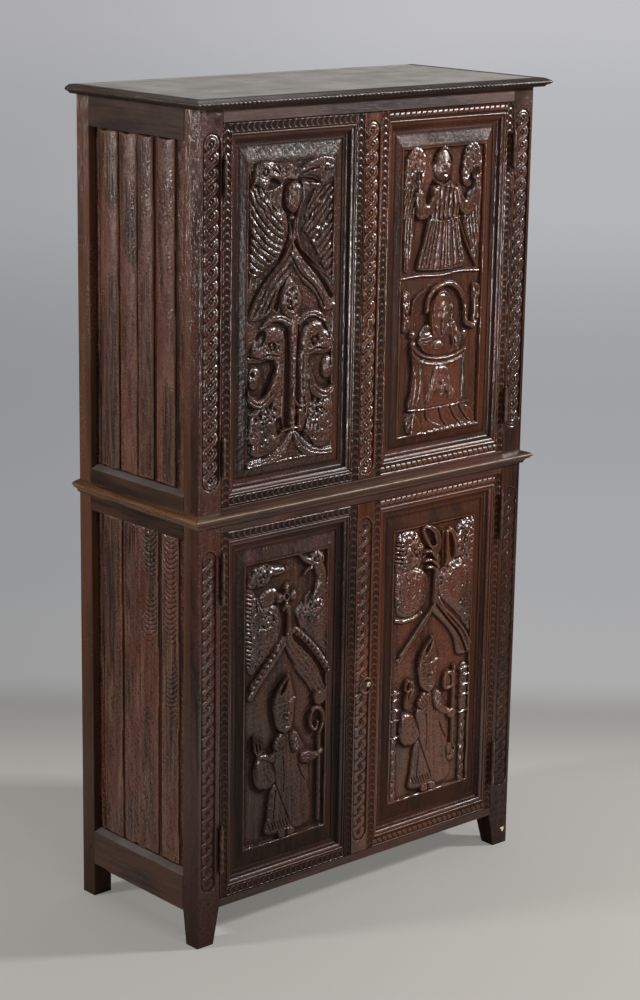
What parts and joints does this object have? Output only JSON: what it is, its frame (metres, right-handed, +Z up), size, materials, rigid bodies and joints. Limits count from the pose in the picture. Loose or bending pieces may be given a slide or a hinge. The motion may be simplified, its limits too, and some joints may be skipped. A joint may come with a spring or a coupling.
{
  "type": "trastero cabinet",
  "caption": "Tall two-stage carved oak cabinet with paired panelled doors above and below, on short tapered legs, with moulded waist and cornice.",
  "frame": {"origin": "on the floor, under the middle of the whole cabinet's outline", "axes": "+Z up; the doors face -Y; +X to the right when facing the doors"},
  "size_m": [0.956, 0.418, 1.718],
  "materials": {
    "carved_oak": "dark waxed carving, worn on its high points",
    "oak": "dark waxed frame and mouldings",
    "side_oak": "dark waxed sides, a little browner",
    "dusty_oak": "dry and dusty, unwaxed",
    "inner_oak": "plain sawn, unpolished",
    "iron": "forged, dark and slightly rubbed",
    "brass": "dull old brass"
  },
  "bodies": {
    "carcass": {"back_rails": "inner_oak", "cornice_moulding": "oak", "hinge_post_halves": "iron", "joint_pegs": "oak", "lower_back_boards": "inner_oak", "lower_floor_board": "inner_oak", "lower_front_rails": "oak", "lower_post_back_left": "oak", "lower_post_back_right": "oak", "lower_post_front_left": "oak", "lower_post_front_right": "oak", "lower_shelf": "inner_oak", "lower_side_panel_left": "side_oak", "lower_side_panel_right": "side_oak", "lower_side_rails_left": "side_oak", "lower_side_rails_right": "side_oak", "lower_top_board": "inner_oak", "shelf_bearers": "inner_oak", "top_boards": "dusty_oak", "upper_back_boards": "inner_oak", "upper_floor_board": "inner_oak", "upper_front_rails": "oak", "upper_post_back_left": "oak", "upper_post_back_right": "oak", "upper_post_front_left": "oak", "upper_post_front_right": "oak", "upper_shelf": "inner_oak", "upper_side_panel_left": "side_oak", "upper_side_panel_right": "side_oak", "upper_side_rails_left": "side_oak", "upper_side_rails_right": "side_oak", "waist_moulding": "oak"},
    "lower_left_door": {"lower_left_door_hinges": "iron", "lower_left_door_irons": "iron", "lower_left_door_panel": "carved_oak", "lower_left_door_rails": "oak", "lower_left_door_stiles": "oak"},
    "lower_right_door": {"lower_escutcheon": "iron", "lower_lock_case": "iron", "lower_right_door_hinge_stile": "oak", "lower_right_door_hinges": "iron", "lower_right_door_meeting_stile": "oak", "lower_right_door_panel": "carved_oak", "lower_right_door_rails": "oak"},
    "lower_lock_bolt_slide": {"lower_lock_bolt": "iron"},
    "lower_top_bolt_slide": {"lower_top_bolt": "iron"},
    "upper_left_door": {"upper_left_door_hinges": "iron", "upper_left_door_irons": "iron", "upper_left_door_panel": "carved_oak", "upper_left_door_rails": "oak", "upper_left_door_stiles": "oak"},
    "upper_right_door": {"upper_escutcheon": "brass", "upper_lock_case": "iron", "upper_right_door_hinge_stile": "oak", "upper_right_door_hinges": "iron", "upper_right_door_meeting_stile": "oak", "upper_right_door_panel": "carved_oak", "upper_right_door_rails": "oak"},
    "upper_lock_bolt_slide": {"upper_lock_bolt": "iron"},
    "upper_top_bolt_slide": {"upper_top_bolt": "iron"}
  },
  "joints": [
    {"name": "lower_left_door_hinge", "type": "hinge", "parent": "carcass", "child": "lower_left_door", "pos_m": [-0.3924, -0.1862, 0.49], "axis": [0, 0, -1], "range_deg": [0, 110]},
    {"name": "lower_right_door_hinge", "type": "hinge", "parent": "carcass", "child": "lower_right_door", "pos_m": [0.3924, -0.1862, 0.49], "axis": [0, 0, 1], "range_deg": [0, 110]},
    {"name": "lower_lock_bolt_throw", "type": "slide", "parent": "lower_right_door", "child": "lower_lock_bolt_slide", "axis": [-1, 0, 0], "range_m": [0, 0.016]},
    {"name": "lower_top_bolt_throw", "type": "slide", "parent": "lower_left_door", "child": "lower_top_bolt_slide", "axis": [0, 0, 1], "range_m": [0, 0.016]},
    {"name": "upper_left_door_hinge", "type": "hinge", "parent": "carcass", "child": "upper_left_door", "pos_m": [-0.3924, -0.1862, 1.2965], "axis": [0, 0, -1], "range_deg": [0, 110]},
    {"name": "upper_right_door_hinge", "type": "hinge", "parent": "carcass", "child": "upper_right_door", "pos_m": [0.3924, -0.1862, 1.2965], "axis": [0, 0, 1], "range_deg": [0, 110]},
    {"name": "upper_lock_bolt_throw", "type": "slide", "parent": "upper_right_door", "child": "upper_lock_bolt_slide", "axis": [-1, 0, 0], "range_m": [0, 0.016]},
    {"name": "upper_top_bolt_throw", "type": "slide", "parent": "upper_left_door", "child": "upper_top_bolt_slide", "axis": [0, 0, 1], "range_m": [0, 0.016]}
  ]
}
